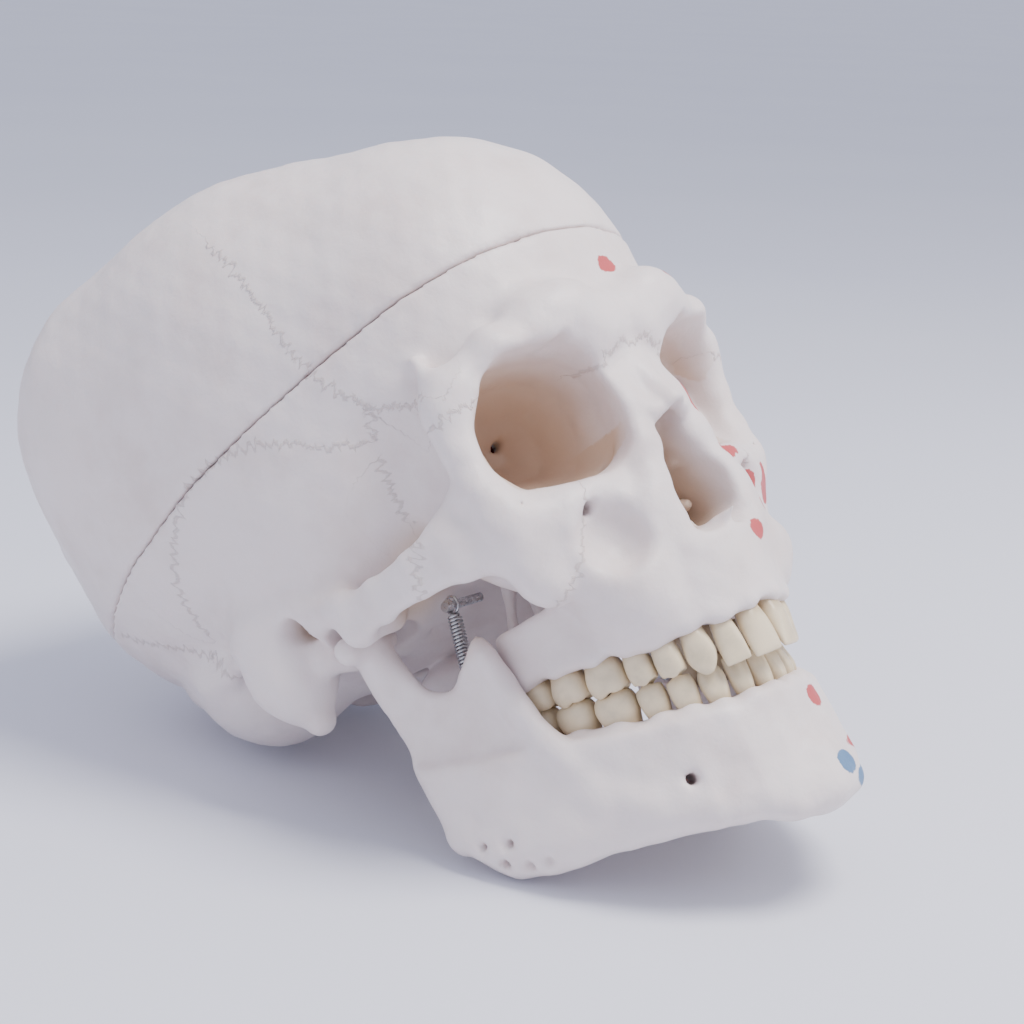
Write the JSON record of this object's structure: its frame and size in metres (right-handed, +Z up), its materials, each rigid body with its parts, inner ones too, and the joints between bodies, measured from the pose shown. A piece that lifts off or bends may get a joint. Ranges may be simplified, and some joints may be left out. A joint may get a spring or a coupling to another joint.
{
  "type": "human skull teaching model",
  "caption": "Life-size human skull teaching model with a lift-off skull cap, a lower jaw hung on springs and separate teeth; the left half carries muscle markings.",
  "frame": {"origin": "middle of the bounding box's underside, on the table the skull lies on", "axes": "+Z up from the table, -Y towards the face, +X towards the skull's left side"},
  "size_m": [0.152, 0.2491, 0.1743],
  "materials": {
    "bone_plastic": "satin, faintly mottled",
    "tooth_plastic": "smooth ivory",
    "steel": "bright drawn wire"
  },
  "bodies": {
    "cranium": {"cranial_base": "bone_plastic", "upper_right_central_incisor": "tooth_plastic", "upper_right_lateral_incisor": "tooth_plastic", "upper_right_canine": "tooth_plastic", "upper_right_first_premolar": "tooth_plastic", "upper_right_second_premolar": "tooth_plastic", "upper_right_first_molar": "tooth_plastic", "upper_right_second_molar": "tooth_plastic", "upper_right_third_molar": "tooth_plastic", "upper_left_central_incisor": "tooth_plastic", "upper_left_lateral_incisor": "tooth_plastic", "upper_left_canine": "tooth_plastic", "upper_left_first_premolar": "tooth_plastic", "upper_left_second_premolar": "tooth_plastic", "upper_left_first_molar": "tooth_plastic", "upper_left_second_molar": "tooth_plastic", "upper_left_third_molar": "tooth_plastic", "cap_locating_pins": "steel", "spring_anchor_screws_upper": "steel", "left_jaw_spring": "steel", "right_jaw_spring": "steel"},
    "mandible": {"mandible": "bone_plastic", "lower_right_central_incisor": "tooth_plastic", "lower_right_lateral_incisor": "tooth_plastic", "lower_right_canine": "tooth_plastic", "lower_right_first_premolar": "tooth_plastic", "lower_right_second_premolar": "tooth_plastic", "lower_right_first_molar": "tooth_plastic", "lower_right_second_molar": "tooth_plastic", "lower_right_third_molar": "tooth_plastic", "lower_left_central_incisor": "tooth_plastic", "lower_left_lateral_incisor": "tooth_plastic", "lower_left_canine": "tooth_plastic", "lower_left_first_premolar": "tooth_plastic", "lower_left_second_premolar": "tooth_plastic", "lower_left_first_molar": "tooth_plastic", "lower_left_second_molar": "tooth_plastic", "lower_left_third_molar": "tooth_plastic", "spring_anchor_screws_lower": "steel"},
    "calvaria": {"calvaria": "bone_plastic"}
  },
  "joints": [
    {"name": "jaw_hinge", "type": "hinge", "parent": "cranium", "child": "mandible", "pos_m": [0, -0.01775, 0.05078], "axis": [1, 0, 0], "range_deg": [0, 30], "stiffness_Nm_per_rad": 0.08, "springref_deg": -11.46, "deforming": ["left_jaw_spring", "right_jaw_spring"]},
    {"name": "calvaria_lift", "type": "slide", "parent": "cranium", "child": "calvaria", "axis": [0, 0.726, 0.6877], "range_m": [0, 0.09]}
  ]
}
